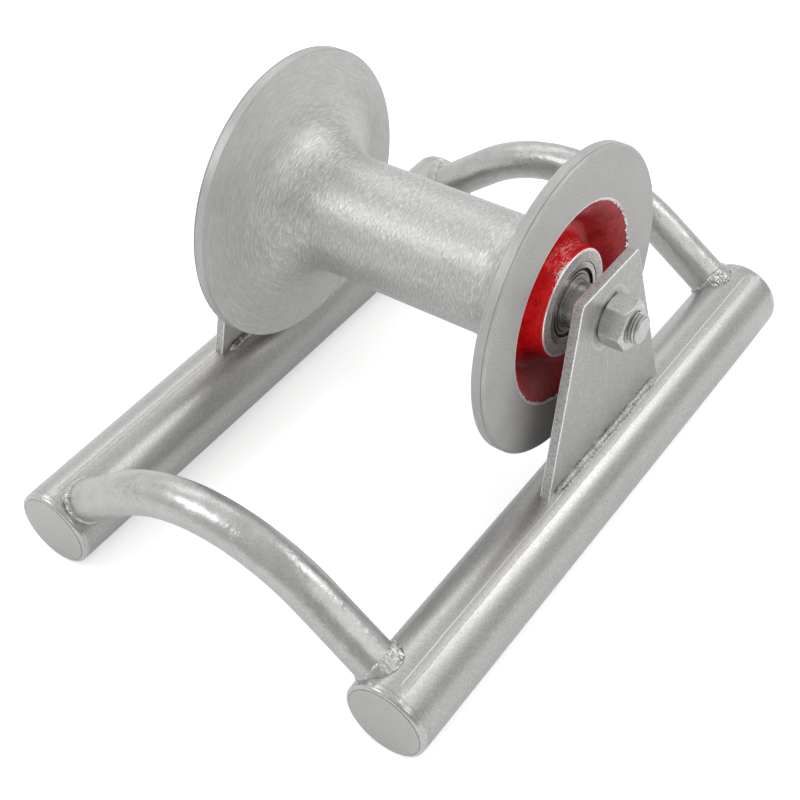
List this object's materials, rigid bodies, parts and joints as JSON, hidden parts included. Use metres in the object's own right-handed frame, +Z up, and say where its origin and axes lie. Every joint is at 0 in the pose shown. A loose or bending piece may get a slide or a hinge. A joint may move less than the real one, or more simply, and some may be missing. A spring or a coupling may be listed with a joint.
{
  "type": "cable pulling roller",
  "caption": "Flanged cast roller on a bolt axle between bracket plates, on a welded frame of tube skids joined by arched cross tubes, to guide a cable pulled over the ground.",
  "frame": {"origin": "on the ground in the middle of the frame's length and width, below the skids", "axes": "+X along the skids to the rear, +Y along the roller's axle to the left, +Z up"},
  "size_m": [0.27, 0.1934, 0.154],
  "materials": {
    "skid_steel": "satin, bright drawn tube",
    "cap_steel": "dull, cut sheet",
    "cross_steel": "satin, slightly mottled",
    "weld_metal": "rough, bright specks",
    "plate_steel": "satin, cut edges",
    "zinc_steel": "zinc plated",
    "bush_steel": "dull, dark",
    "shell_aluminium": "turned, with red enamel in the end recesses",
    "ring_steel": "ground",
    "shield_steel": "pressed, satin",
    "ball_steel": "polished",
    "cage_steel": "pressed, satin"
  },
  "bodies": {
    "frame": {"left_skid_tube": "skid_steel", "right_skid_tube": "skid_steel", "front_left_end_cap": "cap_steel", "front_right_end_cap": "cap_steel", "rear_left_end_cap": "cap_steel", "rear_right_end_cap": "cap_steel", "front_cross_tube": "cross_steel", "rear_cross_tube": "cross_steel", "cross_tube_welds": "weld_metal", "left_bracket": "plate_steel", "right_bracket": "plate_steel", "bracket_welds": "weld_metal", "axle_bolt": "zinc_steel", "axle_nut": "zinc_steel", "left_spacer_bush": "bush_steel", "right_spacer_bush": "bush_steel", "centre_spacer_tube": "bush_steel", "left_inner_ring": "ring_steel", "right_inner_ring": "ring_steel"},
    "roller": {"roller_shell": "shell_aluminium", "left_outer_ring": "ring_steel", "right_outer_ring": "ring_steel", "left_bearing_shields": "shield_steel", "right_bearing_shields": "shield_steel"},
    "left_cage": {"left_balls": "ball_steel", "left_ball_cage": "cage_steel"},
    "right_cage": {"right_balls": "ball_steel", "right_ball_cage": "cage_steel"}
  },
  "joints": [
    {"name": "roller_spin", "type": "hinge", "parent": "frame", "child": "roller", "pos_m": [0.01, 0, 0.094], "axis": [0, 1, 0], "continuous": true},
    {"name": "left_cage_spin", "type": "hinge", "parent": "frame", "child": "left_cage", "pos_m": [0.01, 0, 0.094], "axis": [0, 1, 0], "continuous": true},
    {"name": "right_cage_spin", "type": "hinge", "parent": "frame", "child": "right_cage", "pos_m": [0.01, 0, 0.094], "axis": [0, 1, 0], "continuous": true}
  ],
  "couplings": [
    {"joint": "left_cage_spin", "follows": "roller_spin", "ratio": 0.6352},
    {"joint": "right_cage_spin", "follows": "roller_spin", "ratio": 0.6352}
  ]
}
